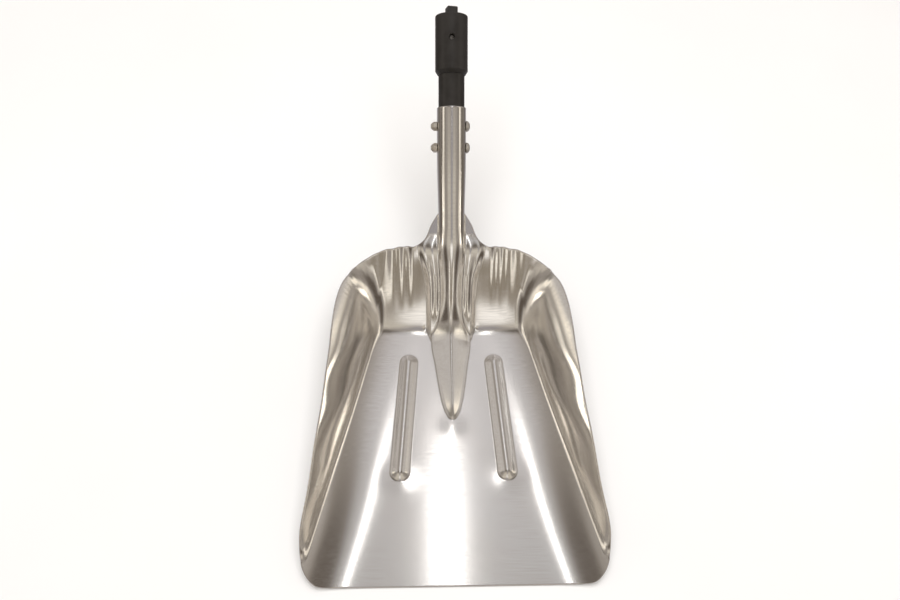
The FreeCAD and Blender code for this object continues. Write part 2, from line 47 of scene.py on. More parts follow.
CREASE_Y, CREASE_STEEP, CREASE_BAND = 307.0, 0.60, 9.0    # the tight turn at the rear of the floor
REAR_Y, REAR_STEEP, REAR_BAND = 329.9, 0.555, 29.0         # the slow turn above it
FOLD = 5.0                         # rounding of the side folds
DISH_WIDTH, DISH_RISE = 70.0, 6.8   # the floor rises towards the side folds
POCKET_Y, POCKET_STEEP = 20.0, 0.8      # where each side wall dies away behind the lip
WRINKLE_X, WRINKLE_Y = 84.0, 304.0      # where the press wrinkles of each rear corner fan out from
WALL_SECTION = [(0, 3), (8, 19.6), (16, 34.2), (24, 46.6), (32, 56.6), (40, 64.3), (53, 72.9), (62, 76.5)]
RIM = [(138, 0), (152, 1.5), (161, 9.5), (166.5, 20), (169, 34), (169, 48), (166.9, 67), (162.2, 96),
       (156.5, 143), (151, 186), (147.1, 222), (144, 254), (141.8, 285), (138.4, 314), (131.8, 339),
       (120.5, 358.5)]
REAR_RIM = [(120.5, 358.5), (109, 367.6), (94, 375), (78, 379.4), (61, 382.6), (46, 384.6)]
WING = [(384.6, 46), (387.6, 40.5), (391.5, 35), (398, 30.2), (409.8, 24.6), (417, 19.6), (422, 16.2)]
STRIP_HALF = 46.0                  # half width of the centre strip that carries tongue, frog and socket
LIFT = math.radians(30.0)
NECK_Y, NECK_Z = 422.0, 96.0
NECK_RADIUS, SOCKET_RADIUS = 16.2, 17.75
SOCKET_TAPER, SOCKET_LENGTH = 62.0, 127.0


# ---------------------------------------------------------------- small tools
def ease(value, low, high):
    """0 below low, 1 above high, smooth between."""
    share = np.clip((value - low) / (high - low), 0.0, 1.0)
    return share * share * (3.0 - 2.0 * share)


def through(points, value):
    """A smooth curve through a few (place, size) points."""
    place, size = (np.array(column, float) for column in zip(*points))
    slope = np.diff(size) / np.diff(place)
    tangent = np.concatenate([slope[:1], (slope[1:] + slope[:-1]) / 2, slope[-1:]])
    turning = np.concatenate([[False], slope[1:] * slope[:-1] <= 0, [False]])
    tangent[turning] = 0.0
    value = np.clip(value, place[0], place[-1])
    index = np.clip(np.searchsorted(place, value) - 1, 0, len(slope) - 1)
    step = place[index + 1] - place[index]
    share = (value - place[index]) / step
    rest = 1.0 - share
    return (
        size[index] * rest * rest * (1 + 2 * share)
        + size[index + 1] * share * share * (3 - 2 * share)
        + step * (tangent[index] * share * rest * rest - tangent[index + 1] * share * share * rest)
    )


def soft_max(a, b, width):
    """The larger of two heights, with a rounded valley where they meet."""
    near = np.maximum(width - np.abs(a - b), 0.0) / width
    return np.maximum(a, b) + near * near * width / 4.0


def bend(distance, half_band):
    """0 before a fold, the distance itself after it, with an even turn across the band."""
    u = np.clip(distance / half_band, -1.0, 1.0)
    inside = half_band * (0.5 * (u - 2.0 / math.pi * np.cos(math.pi * u / 2.0)) + 0.5)
    return np.where(distance > half_band, distance, inside)


def bump(x, y, at, size):
    return np.exp(-((x - at[0]) ** 2 + (y - at[1]) ** 2) / size ** 2)


# ---------------------------------------------------------------- the sheet as one height over its plan
def side_distance(x, y):
    """Distance outside the side fold; x is already without its sign."""
    return (x - MOUTH_HALF) * math.cos(SIDE_TURN) + y * math.sin(SIDE_TURN)


def floor_and_rear(x, y):
    """The dished floor and the rear wall it rolls up into, as one sheet."""
    inside = np.clip(1 + np.minimum(side_distance(x, y), 8.0) / DISH_WIDTH, 0.0, 2.0)
    dish = DISH_RISE * inside ** 2.6 * (1.62 - 0.70 * ease(y, 40.0, 230.0))
    rear = CREASE_STEEP * bend(y - CREASE_Y, CREASE_BAND) + REAR_STEEP * bend(y - REAR_Y, REAR_BAND)
    flutes = 0.8 * np.sin(0.40 * x + 1.3 * np.sin(0.11 * x)) * ease(x, 38.0, 54.0)
    flutes = flutes * (1 - ease(x, 84.0, 104.0))
    flutes = flutes * ease(y, 322.0, 384.0) + 0.6 * np.sin(0.13 * x + 0.9) * ease(y, 322.0, 360.0)
    return GAUGE + dish + flutes + rear


def side_wall(x, y):
    """The flared side wall, which dies away in a rounded pocket behind the lip."""
    out = side_distance(x, y)
    room = POCKET_STEEP * np.maximum(y - POCKET_Y, 1e-3)
    run = np.maximum(out, 1e-3)
    run = run * room / np.hypot(run, room)
    outside = through(WALL_SECTION, run)
    dx, dy = x - WRINKLE_X, y - WRINKLE_Y
    bearing, reach = np.arctan2(dy, dx), np.hypot(dx, dy)
    wrinkle = np.sin(58.0 * bearing) * (0.6 + 0.4 * np.sin(17.0 * bearing)) * ease(bearing, 0.25, 0.6)
    wave = 0.85 * np.sin((y + 2.0 * out) / 16.0 + 0.9) * ease(out, 3.0, 18.0)
    wave = wave * ease(y, 30.0, 110.0) * (1 - ease(y, 230.0, 300.0))
    outside = outside + 0.1 * wrinkle * ease(reach, 30.0, 66.0) + wave
    return np.where(out > 0, outside, WALL_SECTION[0][1] + 2.0 * out)


def socket_level(y):
    """Height of the rolled socket's middle plane."""
    return NECK_Z + (y - NECK_Y) * math.tan(LIFT)


SOCKET_RISE = NECK_RADIUS / math.cos(LIFT)
ROUND_FROM = 395.0
CREST = [(186, 1.8), (190, 2.8), (194, 4.3), (198, 5.5), (206, 7.2), (223, 8.9), (240, 10.1), (260, 11.4),
         (280, 13.0), (300, 15.8), (313, 21.5), (325, 32), (340, 48.8), (355, 65.6), (368, 79.2),
         (381, 90.5), (395, 99.12)]
RIDGE_HALF = [(188, 0.9), (191, 2.8), (194, 4.6), (198, 6.5), (206, 9.2), (223, 12.7), (260, 18),
              (290, 22), (303, 21.6), (315, 18), (326, 15.2), (340, 14.2), (360, 14.9), (381, 16.0),
              (395, 16.2)]
SHOULDER = [(292, 0), (303, 1.6), (313, 4.2), (325, 6.8), (340, 8.4), (355, 8.4), (368, 6.2), (381, 3.2),
            (392, 0.8), (402, 0)]
SHOULDER_TOP = [(292, 23.5), (313, 25.4), (345, 25.8), (357, 27), (369, 30.5), (384, 34), (402, 24)]
SHOULDER_FOOT = [(292, 27), (313, 29.6), (345, 30.6), (357, 33), (369, 38.5), (384, 43), (402, 32)]


def centre_height(x, y, base):
    """The floor or wall height with the tongue, the frog's shoulders and the round socket raised on it."""
    shoulder = through(SHOULDER, y)
    low = base + shoulder * (1 - ease(x, through(SHOULDER_TOP, y), through(SHOULDER_FOOT, y)))
    low = low + 1.5 * np.exp(-np.maximum(x - through(SHOULDER_TOP, y), 0.0) / 8.0) * ease(y, 298.0, 314.0) * (
        1 - ease(y, 345.0, 375.0))
    crown = np.clip((x - 14.0) / (through(SHOULDER_TOP, y) - 14.0), 0.0, 1.0)
    low = low + 1.9 * np.sin(math.pi * crown) ** 2 * ease(y, 308.0, 335.0) * (1 - ease(y, 372.0, 402.0))
    level = base + shoulder
    crest = np.where(y < ROUND_FROM, through(CREST, y), socket_level(y) + SOCKET_RISE)
    share = x / through(RIDGE_HALF, y)
    roof = 1.08 - np.sqrt(share * share + 0.0064)
    inside = np.clip(1 - share * share, 0.0, 1.0) ** (1.05 - 0.55 * ease(y, 350.0, ROUND_FROM))
    arch = np.where(share < 1, inside, 2 - 2 * share)
    rounding = ease(y, 298.0, 344.0)
    high = level + np.maximum(crest - level, 0.0) * ((1 - rounding) * roof + rounding * arch)
    high = high - 4.0 * (1 - ease(y, 186.0, 193.0)) - 4.0 * np.clip(share - 1, 0.0, 4.0)
    width = 1.6 + 2.4 * ease(y, 320.0, 350.0) - 3.6 * ease(y, 388.0, 418.0)
    return soft_max(low, high, width)


BEAD_START, BEAD_END = (63.4, 116.0), (51.6, 275.0)
BEAD_HALF, BEAD_RISE = 11.6, 4.6


def bead_height(x, y):
    """Two raised stiffening beads with round ends."""
    (x0, y0), (x1, y1) = BEAD_START, BEAD_END
    length = math.hypot(x1 - x0, y1 - y0)
    ux, uy = (x1 - x0) / length, (y1 - y0) / length
    dx, dy = x - x0, y - y0
    along = dx * ux + dy * uy
    core = np.clip(along, BEAD_HALF, length - BEAD_HALF)
    off = np.hypot(along - core, dx * uy - dy * ux)
    share = np.clip(1 - (off / BEAD_HALF) ** 2, 0.0, 1.0)
    swell = 0.7 * bump(x, y, (x0, y0 + 4.0), 15.0) - 0.9 * bump(x, y, (x1 - 1.0, y1 - 6.0), 2.6)
    return BEAD_RISE * share * (0.3 + 0.7 * share) + swell


def sheet_height(x, y):
    """Height of the sheet's upper face over the plane the scoop rests on."""
    x = np.abs(x)
    base = soft_max(floor_and_rear(x, y), side_wall(x, y), FOLD + 22.0 * ease(y, 270.0, 342.0))
    onto_socket = ease(y, 360.0, 402.0) * ease(-x, -STRIP_HALF - 16.0, -STRIP_HALF + 8.0)
    base = base * (1 - onto_socket) + socket_level(y) * onto_socket
    press = 0.5 * bump(x, y, (0.0, 183.0), 12.0) - 1.1 * bump(x, y, (31.0, 311.0), 3.0)
    return centre_height(x, y, base) + bead_height(x, y) + press


# ---------------------------------------------------------------- patches of the sheet
ALONG_SIDE, ALONG_REAR, ACROSS_WALL = 216, 68, 84
INNER_LIP, INNER_CORNER, INNER_REAR = (128.0, 0.0), (77.0, 292.0), (STRIP_HALF, 295.0)


def on_sheet(x, y):
    return np.stack([x, y, sheet_height(x, y)], -1)


def even_line(points, cells):
    """Points evenly spaced along a smooth plan curve."""
    number = np.arange(len(points))
    fine = np.linspace(0, len(points) - 1, 3000)
    line = np.stack([through(list(zip(number, [p[axis] for p in points])), fine) for axis in (0, 1)], -1)
    length = np.concatenate([[0.0], np.cumsum(np.linalg.norm(np.diff(line, axis=0), axis=1))])
    wanted = np.linspace(0.0, length[-1], cells + 1)
    return np.stack([np.interp(wanted, length, line[:, axis]) for axis in (0, 1)], -1)


def wall_patch():
    """From inside the folds, over them and up the walls, to the rim; finer where the sheet folds."""
    side, rear = even_line(RIM, ALONG_SIDE), even_line(REAR_RIM, ALONG_REAR)
    outer = np.vstack([side, rear[1:]])
    lip, corner, end = (np.array(point) for point in (INNER_LIP, INNER_CORNER, INNER_REAR))
    inner = np.vstack([
        lip + (corner - lip) * np.linspace(0, 1, ALONG_SIDE + 1)[:, None],
        corner + (end - corner) * np.linspace(0, 1, ALONG_REAR + 1)[1:, None],
    ])
    share = np.linspace(0, 1, 700)
    line = inner[:, None] + (outer - inner)[:, None] * share[None, :, None]
    apart = floor_and_rear(line[..., 0], line[..., 1]) - side_wall(line[..., 0], line[..., 1])
    need = 1 + 3.0 * np.exp(-(apart / 9.0) ** 2)
    steps = np.cumsum((need[:, 1:] + need[:, :-1]) / 2, axis=1)
    total = np.concatenate([np.zeros((len(need), 1)), steps], axis=1)
    total /= total[:, -1:]
    even = np.linspace(0, 1, ACROSS_WALL + 1)
    shares = np.array([np.interp(even, row, share) for row in total])
    return inner[:, None] + (outer - inner)[:, None] * shares[:, :, None]


def floor_patch(inner_edge):
    """The floor between the centre strip and the wall patch."""
    side = inner_edge[: ALONG_SIDE + 1]
    rear = inner_edge[ALONG_SIDE:][::-1]
    middle_y = side[:, 1] / side[-1, 1] * rear[0, 1]
    middle = np.stack([np.full(len(side), STRIP_HALF), middle_y], -1)
    lip_x = STRIP_HALF + (rear[:, 0] - STRIP_HALF) / (rear[-1, 0] - STRIP_HALF) * (side[0, 0] - STRIP_HALF)
    lip = np.stack([lip_x, np.zeros(len(rear))], -1)
    v = np.linspace(0, 1, len(side))[:, None, None]
    u = np.linspace(0, 1, len(rear))[None, :, None]
    ruled = (1 - u) * middle[:, None] + u * side[:, None] + (1 - v) * lip[None] + v * rear[None]
    corners = (1 - u) * (1 - v) * lip[0] + u * (1 - v) * lip[-1] + (1 - u) * v * rear[0] + u * v * rear[-1]
    return ruled - corners, middle_y


STRIP_CELLS = 104                      # cells across the centre strip
WING_CELLS, RING_CELLS = 44, 90


def strip_row(y_row, reach):
    """One row of the centre strip, its points evenly spaced along its own curve."""
    dense = np.linspace(0.0, reach, 1500)
    tilt = float(ease(np.array(y_row), 325.0, 405.0))
    lift = np.sqrt(np.clip(NECK_RADIUS ** 2 - dense ** 2, 0.0, None))
    y = y_row - tilt * math.sin(LIFT) * lift
    points = np.stack([dense, y, sheet_height(dense, y)], -1)
    length = np.concatenate([[0.0], np.cumsum(np.linalg.norm(np.diff(points, axis=0), axis=1))])
    wanted = np.linspace(0.0, length[-1], STRIP_CELLS // 2 + 1)
    x = np.interp(wanted, length, dense)
    y = np.interp(wanted, length, y)
    half = np.stack([x, y, sheet_height(x, y)], -1)
    return np.vstack([half[:0:-1] * [-1, 1, 1], half])


def centre_strip(floor_rows, wall_rows):
    rows = [(y, STRIP_HALF) for y in np.concatenate([floor_rows, wall_rows[1:]])]
    wing = wall_rows[-1] + (NECK_Y - wall_rows[-1]) * np.linspace(0, 1, WING_CELLS + 1)[1:] ** 1.4
    rows += list(zip(wing, through(WING, wing)))
    return np.array([strip_row(y, reach) for y, reach in rows])


def socket_rows():
    """The rolled socket, from the neck, where it is a half round, to its open end."""
    along = np.linspace(0.0, SOCKET_LENGTH, RING_CELLS + 1)[:, None]
    share = np.linspace(-1.0, 1.0, STRIP_CELLS + 1)[None, :]
    growth = ease(along, -20.0, SOCKET_TAPER + 10)
    radius = NECK_RADIUS + (SOCKET_RADIUS - NECK_RADIUS) * (growth - growth[0]) / (1 - growth[0])
    wrap = math.pi / 2 + (math.pi / 2 - 0.036) * ease(along, 0.0, 34.0)
    angle = share * wrap
    out = radius * np.cos(angle)
    return np.stack([
        radius * np.sin(angle),
        NECK_Y + along * math.cos(LIFT) - out * math.sin(LIFT),
        NECK_Z + along * math.sin(LIFT) + out * math.cos(LIFT),
    ], -1)


# ---------------------------------------------------------------- patches to one closed sheet
def weld(patches):
    """Joins grids of points into one quad mesh; each patch is (points, turned over)."""
    points, quads, start = [], [], 0
    for grid, flip in patches:
        rows, columns, _ = grid.shape
        index = start + np.arange(rows * columns).reshape(rows, columns)
        quad = np.stack([index[:-1, :-1], index[:-1, 1:], index[1:, 1:], index[1:, :-1]], -1).reshape(-1, 4)
        quads.append(quad[:, ::-1] if flip else quad)
        points.append(grid.reshape(-1, 3))
        start += rows * columns
    points, quads = np.vstack(points), np.vstack(quads)
    _, first, inverse = np.unique(np.round(points, 3), axis=0, return_index=True, return_inverse=True)
    quads = inverse.reshape(-1)[quads]
    return points[first], quads


def vertex_normals(points, quads):
    diagonal = np.cross(points[quads[:, 2]] - points[quads[:, 0]], points[quads[:, 3]] - points[quads[:, 1]])
    normals = np.zeros_like(points)
    for corner in range(4):
        np.add.at(normals, quads[:, corner], diagonal)
    return normals / np.linalg.norm(normals, axis=1)[:, None]


def thicken(points, quads, gauge):
    """Gives a sheet its back face and a rounded cut edge."""
    normals = vertex_normals(points, quads)
    back = points - normals * gauge
    count = len(points)
    edges = np.vstack([quads[:, [0, 1]], quads[:, [1, 2]], quads[:, [2, 3]], quads[:, [3, 0]]])
    keys = {}
    for a, b in edges:
        keys.setdefault((min(a, b), max(a, b)), []).append((a, b))
    border = np.array([pair[0] for pair in keys.values() if len(pair) == 1])
    outward = np.zeros_like(points)
    side = np.cross(points[border[:, 1]] - points[border[:, 0]], normals[border[:, 0]])
    np.add.at(outward, border[:, 0], side)
    np.add.at(outward, border[:, 1], side)
    rim = np.unique(border)
    outward = outward[rim] / np.linalg.norm(outward[rim], axis=1)[:, None]
    bulge = gauge * 0.22
    loops = []
    for depth, swell in ((0.2, 0.75), (0.5, 1.0), (0.8, 0.75)):
        loops.append(points[rim] - normals[rim] * gauge * depth + outward * bulge * swell)
    everything = np.vstack([points, back] + loops)
    place = {vertex: number for number, vertex in enumerate(rim)}
    faces = [tuple(quad) for quad in quads] + [tuple(quad[::-1] + count) for quad in quads]
    for a, b in border:
        chain_a = [a] + [2 * count + k * len(rim) + place[a] for k in range(3)] + [a + count]
        chain_b = [b] + [2 * count + k * len(rim) + place[b] for k in range(3)] + [b + count]
        for k in range(4):
            faces.append((chain_b[k], chain_a[k], chain_a[k + 1], chain_b[k + 1]))
    return everything, faces


def build_blade():
    plan = wall_patch()
    floor, floor_rows = floor_patch(plan[:, 0])
    right_wall = on_sheet(plan[..., 0], plan[..., 1])
    right_floor = on_sheet(floor[..., 0], floor[..., 1])
    strip = centre_strip(floor_rows, plan[-1, :, 1])
    mirror = np.array([-1.0, 1.0, 1.0])
    socket = socket_rows()
    socket[0] = strip[-1]
    return weld([
        (strip, False), (socket, False), (right_floor, False), (right_wall, False),
        (right_floor * mirror, True), (right_wall * mirror, True),
    ])


# ---------------------------------------------------------------- pieces
def add_object(name, points, faces, material, smooth_angle=math.radians(35)):
    mesh = bpy.data.meshes.new(name)
    mesh.from_pydata([tuple(point) for point in points], [], [tuple(int(i) for i in face) for face in faces])
    mesh.validate()
    mesh.update()
    mesh.materials.append(material)
    mesh.shade_smooth()
    piece = bpy.data.objects.new(name, mesh)
    bpy.context.scene.collection.objects.link(piece)
    if smooth_angle:
        mesh.set_sharp_from_angle(angle=smooth_angle)
    return piece


def to_frame(points):
    return (np.asarray(points) + [0.0, LIP_Y, 0.0]) * MM


def rounded(profile, steps=5):
    """Turns (radius, height, rounding) corners into a line with small curves."""
    line = []
    for index, (r, z, rounding) in enumerate(profile):
        here = np.array([r, z])
        if rounding == 0 or index in (0, len(profile) - 1):
            line.append(here)
            continue
        before = np.array(profile[index - 1][:2]) - here
        after = np.array(profile[index + 1][:2]) - here
        before_unit, after_unit = before / np.linalg.norm(before), after / np.linalg.norm(after)
        half = math.acos(np.clip(before_unit @ after_unit, -1, 1)) / 2
        reach = min(rounding / math.tan(half), 0.45 * np.linalg.norm(before), 0.45 * np.linalg.norm(after))
        first, last = here + before_unit * reach, here + after_unit * reach
        for share in np.linspace(0, 1, steps + 1):
            line.append((1 - share) ** 2 * first + 2 * share * (1 - share) * here + share ** 2 * last)
    return np.array(line)


def lathe(profile, around=96):
    """A closed round solid from half of its section, which ends on the axis or meets itself."""
    line = rounded(profile)
    angle = np.linspace(0, 2 * math.pi, around, endpoint=False)
    points, rings, faces = [], [], []
    for r, z in line:
        if r < 1e-6:
            rings.append([len(points)] * around)
            points.append((0.0, 0.0, z))
        else:
            rings.append(list(range(len(points), len(points) + around)))
            points += [(r * math.cos(a), r * math.sin(a), z) for a in angle]
    for low, high in zip(rings, rings[1:]):
        for i in range(around):
            j = (i + 1) % around
            corners = [low[i], low[j], high[j], high[i]]
            face = [corner for k, corner in enumerate(corners) if corner not in corners[:k]]
            if len(face) > 2:
                faces.append(face)
    return np.array(points), faces


def socket_frame(along, turn=0.0):
    """Local Z runs out along the socket; local -Y is the side that faces up."""
    x = np.array([1.0, 0.0, 0.0])
    y = np.array([0.0, math.sin(LIFT), -math.cos(LIFT)])
    z = np.array([0.0, math.cos(LIFT), math.sin(LIFT)])
    c, s = math.cos(turn), math.sin(turn)
    origin = np.array([0.0, NECK_Y, NECK_Z]) + z * along
    return origin, np.array([c * x + s * y, -s * x + c * y, z])


def placed(points, origin, axes):
    return to_frame(np.asarray(points) @ axes + origin)


def cut(piece, cutter_points, cutter_faces):
    """Takes a solid out of a piece and keeps the result as its mesh."""
    cutter = add_object("cutter", cutter_points, cutter_faces, piece.data.materials[0], smooth_angle=0)
    modifier = piece.modifiers.new("cut", "BOOLEAN")
    modifier.operation = "DIFFERENCE"
    modifier.solver = "EXACT"
    modifier.object = cutter
    bpy.context.view_layer.update()
    graph = bpy.context.evaluated_depsgraph_get()
    mesh = bpy.data.meshes.new_from_object(piece.evaluated_get(graph))
    piece.modifiers.clear()
    piece.data = mesh
    mesh.set_sharp_from_angle(angle=math.radians(35))
    bpy.data.objects.remove(cutter)


def block(half_x, half_y, low, high, chamfer):
    """A square bar with chamfered corners and ends."""
    points, faces = [], []
    for z, inset in ((low, chamfer), (low + chamfer, 0.0), (high - chamfer, 0.0), (high, chamfer)):
        x, y = half_x - inset, half_y - inset
        c = chamfer
        points += [(x, -y + c, z), (x, y - c, z), (x - c, y, z), (-x + c, y, z),
                   (-x, y - c, z), (-x, -y + c, z), (-x + c, -y, z), (x - c, -y, z)]
    for level in range(3):
        for i in range(8):
            j = (i + 1) % 8
            faces.append((level * 8 + i, level * 8 + j, level * 8 + 8 + j, level * 8 + 8 + i))
    faces.append(tuple(range(7, -1, -1)))
    faces.append(tuple(range(24, 32)))
    return np.array(points), faces


def hexagon_nut(flats, height, collar_radius, collar_height, bore):
    """A hexagon with chamfered corners, its round locking collar and its bore, as one closed solid."""
    around = 72
    angle = np.linspace(0, 2 * math.pi, around, endpoint=False)
    flat_reach = (flats / 2) / np.cos((angle % (math.pi / 3)) - math.pi / 6)
    corner = flats / 2 * 1.1
    levels = [
        (bore, 0.0, False), (corner * 0.97, 0.0, True), (corner + 0.55, 0.45, True),
        (corner + 0.55, height - 0.5, True), (corner * 0.985, height, True),
        (collar_radius + 0.15, height + 0.1, False), (collar_radius, height + 0.5, False),
        (collar_radius, height + collar_height * 0.62, False),
        (collar_radius * 0.93, height + collar_height * 0.88, False),
        (collar_radius * 0.8, height + collar_height, False), (bore + 0.2, height + collar_height, False),
        (bore, height + collar_height - 0.2, False),
    ]
    points = []
    for limit, z, is_hex in levels:
        reach = np.minimum(flat_reach, limit) if is_hex else np.full(around, limit)
        points.append(np.stack([reach * np.cos(angle), reach * np.sin(angle), np.full(around, z)], -1))
    faces = []
    count = len(levels)
    for level in range(count):
        low, high = level * around, (level + 1) % count * around
        for i in range(around):
            j = (i + 1) % around
            faces.append((low + i, low + j, high + j, high + i))
    return np.vstack(points), faces


# ---------------------------------------------------------------- materials
class Shader:
    """A small helper that adds nodes to one material and links them."""

    def __init__(self, name):
        self.material = bpy.data.materials.new(name)
        self.material.use_nodes = True
        self.tree = self.material.node_tree
        self.surface = self.tree.nodes["Principled BSDF"]

    def node(self, kind, **settings):
        made = self.tree.nodes.new(kind)
        for key, setting in settings.items():
            if key in made.inputs:
                socket = made.inputs[key]
                if isinstance(setting, bpy.types.NodeSocket):
                    self.tree.links.new(setting, socket)
                else:
                    socket.default_value = setting
            else:
                setattr(made, key, setting)
        return made

    def link(self, output, name):
        self.tree.links.new(output, self.surface.inputs[name])

    def place(self, scale):
        where = self.node("ShaderNodeTexCoord").outputs["Object"]
        return self.node("ShaderNodeMapping", Vector=where, Scale=scale).outputs["Vector"]

    def noise(self, scale, detail=3.0, roughness=0.5, size=1.0):
        return self.node(
            "ShaderNodeTexNoise", Vector=self.place(scale), Scale=size, Detail=detail, Roughness=roughness,
        ).outputs["Fac"]

    def spread(self, value, low, high, from_low=0.3, from_high=0.7):
        made = self.node("ShaderNodeMapRange", Value=value)
        made.inputs["From Min"].default_value = from_low
        made.inputs["From Max"].default_value = from_high
        made.inputs["To Min"].default_value = low
        made.inputs["To Max"].default_value = high
        return made.outputs["Result"]

    def mix(self, share, first, second):
        made = self.node("ShaderNodeMix", data_type="RGBA")
        self.tree.links.new(share, made.inputs["Factor"])
        for name, colour in (("A", first), ("B", second)):
            socket = [item for item in made.inputs if item.name == name and item.type == "RGBA"][0]
            if isinstance(colour, bpy.types.NodeSocket):
                self.tree.links.new(colour, socket)
            else:
                socket.default_value = (*colour, 1.0)
        return [item for item in made.outputs if item.type == "RGBA"][0]

    def bump(self, height, strength, distance):
        made = self.node("ShaderNodeBump", Height=height, Strength=strength, Distance=distance)
        self.link(made.outputs["Normal"], "Normal")


def sheet_material():
    """Pressed sheet, brushed across, faintly cloudy and warm in tone."""
    shader = Shader("brushed sheet")
    shader.surface.inputs["Metallic"].default_value = 1.0
    shader.surface.inputs["Anisotropic"].default_value = 0.78
    tangent = shader.node("ShaderNodeTangent", direction_type="UV_MAP", uv_map="grain")
    shader.link(tangent.outputs["Tangent"], "Tangent")
    cloud = shader.noise((9.0, 9.0, 9.0), detail=4.0)
    grain = shader.noise((26.0, 1250.0, 620.0), detail=3.0)
    warm = shader.mix(shader.spread(cloud, 0.0, 1.0), (0.84, 0.81, 0.77), (0.87, 0.855, 0.83))
    colour = shader.mix(shader.spread(grain, 0.0, 0.45), warm, (0.72, 0.69, 0.66))
    shader.link(colour, "Base Color")
    shader.link(shader.spread(grain, 0.13, 0.21), "Roughness")
    shader.bump(grain, 0.10, 0.00005)
    return shader.material


def plain_material(name, shade, roughness):
    """Plastic or blackened steel with a fine grain and cloudy handling marks."""
    shader = Shader(name)
    cloud = shader.noise((60.0, 60.0, 60.0), detail=5.0, roughness=0.6)
    fine = shader.noise((1800.0, 1800.0, 1800.0), detail=2.0)
    light = tuple(part * 2.1 + 0.006 for part in shade)
    shader.link(shader.mix(shader.spread(cloud, 0.0, 0.6), shade, light), "Base Color")
    shader.link(shader.spread(cloud, roughness - 0.06, roughness + 0.08), "Roughness")
    shader.bump(fine, 0.2, 0.00008)
    return shader.material


def fastener_material(name, bright, dull, roughness):
    """Zinc plate that has gone dull in patches."""
    shader = Shader(name)
    shader.surface.inputs["Metallic"].default_value = 0.9
    cloud = shader.noise((420.0, 420.0, 420.0), detail=5.0, roughness=0.65)
    fine = shader.noise((3000.0, 3000.0, 3000.0), detail=2.0)
    shader.link(shader.mix(shader.spread(cloud, 0.0, 1.0), bright, dull), "Base Color")
    shader.link(shader.spread(cloud, roughness - 0.08, roughness + 0.14), "Roughness")
    shader.bump(fine, 0.15, 0.00004)
    return shader.material


def floor_material():
    shader = Shader("pale floor")
    cloud = shader.noise((3.0, 3.0, 3.0), detail=3.0)
    shader.link(shader.mix(shader.spread(cloud, 0.0, 1.0), (0.9, 0.9, 0.9), (0.93, 0.93, 0.93)), "Base Color")
    shader.surface.inputs["Roughness"].default_value = 0.7
    return shader.material


SHEET = sheet_material()
BLACK = plain_material("coupling black", (0.0125, 0.0108, 0.0095), 0.40)
TANG_BLACK = plain_material("tang black", (0.017, 0.0155, 0.014), 0.42)
PIN = fastener_material("pin steel", (0.30, 0.29, 0.28), (0.12, 0.11, 0.10), 0.45)
ZINC = fastener_material("zinc plate", (0.80, 0.78, 0.74), (0.52, 0.48, 0.42), 0.38)
NUT_ZINC = fastener_material("nut zinc", (0.80, 0.76, 0.70), (0.50, 0.44, 0.36), 0.42)
NYLON = plain_material("nut nylon", (0.62, 0.6, 0.55), 0.5)

# ---------------------------------------------------------------- the blade
sheet_points, sheet_quads = build_blade()
solid_points, solid_faces = thicken(sheet_points, sheet_quads, GAUGE)
blade = add_object("blade", to_frame(solid_points), solid_faces, SHEET, smooth_angle=0)


def lay_grain(piece):
    """A UV map whose first direction runs from lip to handle, square to the brushed grain."""
    mesh = piece.data
    layer = mesh.uv_layers.new(name="grain")
    places = np.empty(len(mesh.vertices) * 3)
    mesh.vertices.foreach_get("co", places)
    places = places.reshape(-1, 3)
    corner = np.empty(len(mesh.loops), dtype=np.int64)
    mesh.loops.foreach_get("vertex_index", corner)
    flat = np.stack([places[:, 1] + 0.35 * places[:, 2], places[:, 0]], -1)
    layer.data.foreach_set("uv", flat[corner].reshape(-1))


lay_grain(blade)
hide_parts("scoop_blade")
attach(blade, "root")

# ---------------------------------------------------------------- coupling, tang and cross pin
STEP_START, COLLAR_START, COLLAR_END = 167.0, 171.5, 237.5
BARREL_START, BARREL_RADIUS, COLLAR_RADIUS = 66.0, 15.85, 19.8
PIN_ALONG, PIN_RADIUS, PIN_HALF = 208.5, 3.2, 14.6
TANG_HALF, TANG_TURN, TANG_START, TANG_END = 6.35, math.radians(13.0), 196.2, 248.5
TANG_HOLE_START, TANG_HOLE_END, TANG_GAP = 196.0, 262.0, 0.06
origin, axes = socket_frame(0.0)
points, faces = lathe([
    (0, BARREL_START, 0), (BARREL_RADIUS, BARREL_START, 1.2), (BARREL_RADIUS, STEP_START, 0.4),
    (17.0, STEP_START, 0.5), (COLLAR_RADIUS, COLLAR_START, 0.9), (COLLAR_RADIUS, COLLAR_END, 1.5),
    (8.6, COLLAR_END, 0.3), (8.2, COLLAR_END - 0.5, 0.2), (0, COLLAR_END - 0.5, 0),
], around=128)
coupling = add_object("coupling", placed(points, origin, axes), faces, BLACK)
hole, hole_faces = lathe([
    (0, -26, 0), (PIN_RADIUS + 1.6, -26, 0), (PIN_RADIUS + 1.0, -19.6, 0), (PIN_RADIUS + 0.1, -18.9, 0),
    (PIN_RADIUS + 0.1, 18.9, 0), (PIN_RADIUS + 1.0, 19.6, 0), (PIN_RADIUS + 1.6, 26, 0), (0, 26, 0),
], around=48)
pin_origin, pin_axes = socket_frame(PIN_ALONG)
pin_axes = np.array([pin_axes[0], pin_axes[2], -pin_axes[1]])
cut(coupling, placed(hole, pin_origin, pin_axes), hole_faces)
points, faces = block(
    TANG_HALF + TANG_GAP, TANG_HALF + TANG_GAP, TANG_HOLE_START, TANG_HOLE_END, 0.5)
turned_origin, turned_axes = socket_frame(0.0, TANG_TURN)
cut(coupling, placed(points, turned_origin, turned_axes), faces)
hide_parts("handle_coupling")
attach(coupling, "root")

